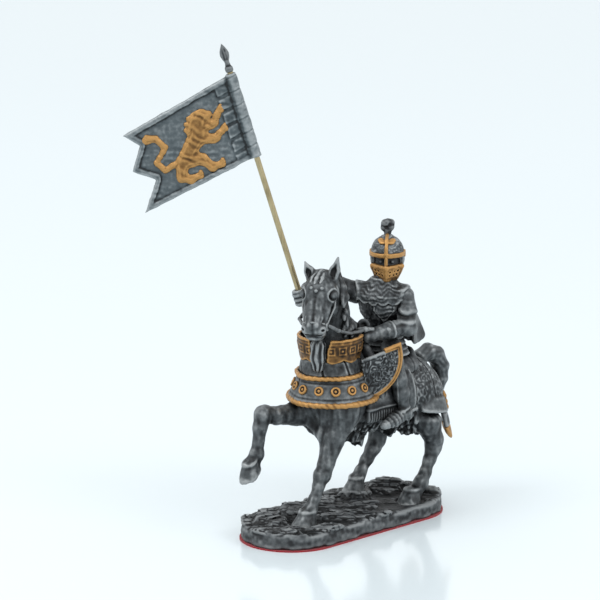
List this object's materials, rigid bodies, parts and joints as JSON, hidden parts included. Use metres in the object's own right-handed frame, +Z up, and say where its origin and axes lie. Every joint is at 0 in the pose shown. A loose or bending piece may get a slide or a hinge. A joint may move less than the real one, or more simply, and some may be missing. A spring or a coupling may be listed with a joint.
{
  "type": "mounted knight tabletop figure with banner",
  "caption": "Cast and painted armoured rider on a stepping horse, on a round-ended rocky base, holding a brass-rod banner that lifts out of the fist.",
  "frame": {"origin": "centre of the underside of the felt pad under the base", "axes": "+Z up; the horse faces -Y; the horse's left side is +X"},
  "size_m": [0.0595, 0.0854, 0.1368],
  "materials": {
    "antique_pewter": "antiqued grey, rubbed bright on high spots, near-black in the recesses",
    "dark_pewter": "the same antiqued grey left darker under the black wash",
    "dark_rock": "dark antiqued grey, rubbed along the stone edges",
    "gold_paint": "hand-painted brown gold, slightly worn",
    "brass_rod": "plain drawn rod, slightly dull",
    "red_felt": "felt"
  },
  "bodies": {
    "figure": {"felt_pad": "red_felt", "rock_base": "dark_rock", "horse_body": "antique_pewter", "horse_head": "antique_pewter", "horse_mane": "dark_pewter", "horse_forelock": "dark_pewter", "bridle": "dark_pewter", "left_foreleg": "antique_pewter", "right_foreleg": "antique_pewter", "left_hind_leg": "antique_pewter", "right_hind_leg": "antique_pewter", "horse_tail": "dark_pewter", "neck_plates": "antique_pewter", "neck_collar": "gold_paint", "throat_tassel": "antique_pewter", "peytral": "antique_pewter", "peytral_upper_trim": "gold_paint", "peytral_lower_trim": "gold_paint", "peytral_rosettes": "gold_paint", "saddle": "dark_pewter", "saddle_cloth": "dark_pewter", "left_bow_plate": "antique_pewter", "right_bow_plate": "antique_pewter", "left_bow_rim": "gold_paint", "right_bow_rim": "gold_paint", "crupper": "antique_pewter", "crupper_trim": "gold_paint", "rear_drape": "antique_pewter", "drape_trim": "gold_paint", "left_rein": "dark_pewter", "right_rein": "dark_pewter", "rider_body": "dark_pewter", "rider_skirt": "antique_pewter", "mail_mantle": "dark_pewter", "rider_left_leg": "antique_pewter", "rider_right_leg": "antique_pewter", "left_arm": "antique_pewter", "right_arm": "antique_pewter", "left_gauntlet": "antique_pewter", "right_gauntlet": "antique_pewter", "cape": "dark_pewter", "rider_head": "dark_pewter", "helmet": "antique_pewter", "helmet_visor": "gold_paint", "helmet_brow": "gold_paint", "helmet_crest": "dark_pewter"},
    "pole": {"banner_pole": "brass_rod", "pole_finial": "antique_pewter"},
    "banner": {"banner": "antique_pewter", "banner_emblem": "gold_paint"}
  },
  "joints": [
    {"name": "pole_lift", "type": "slide", "parent": "figure", "child": "pole", "axis": [-0.2067, -0.2067, 0.9563], "range_m": [0, 0.02]},
    {"name": "banner_swivel", "type": "hinge", "parent": "pole", "child": "banner", "pos_m": [-0.009, -0.0077, 0.0656], "axis": [-0.2067, -0.2067, 0.9563], "continuous": true}
  ]
}
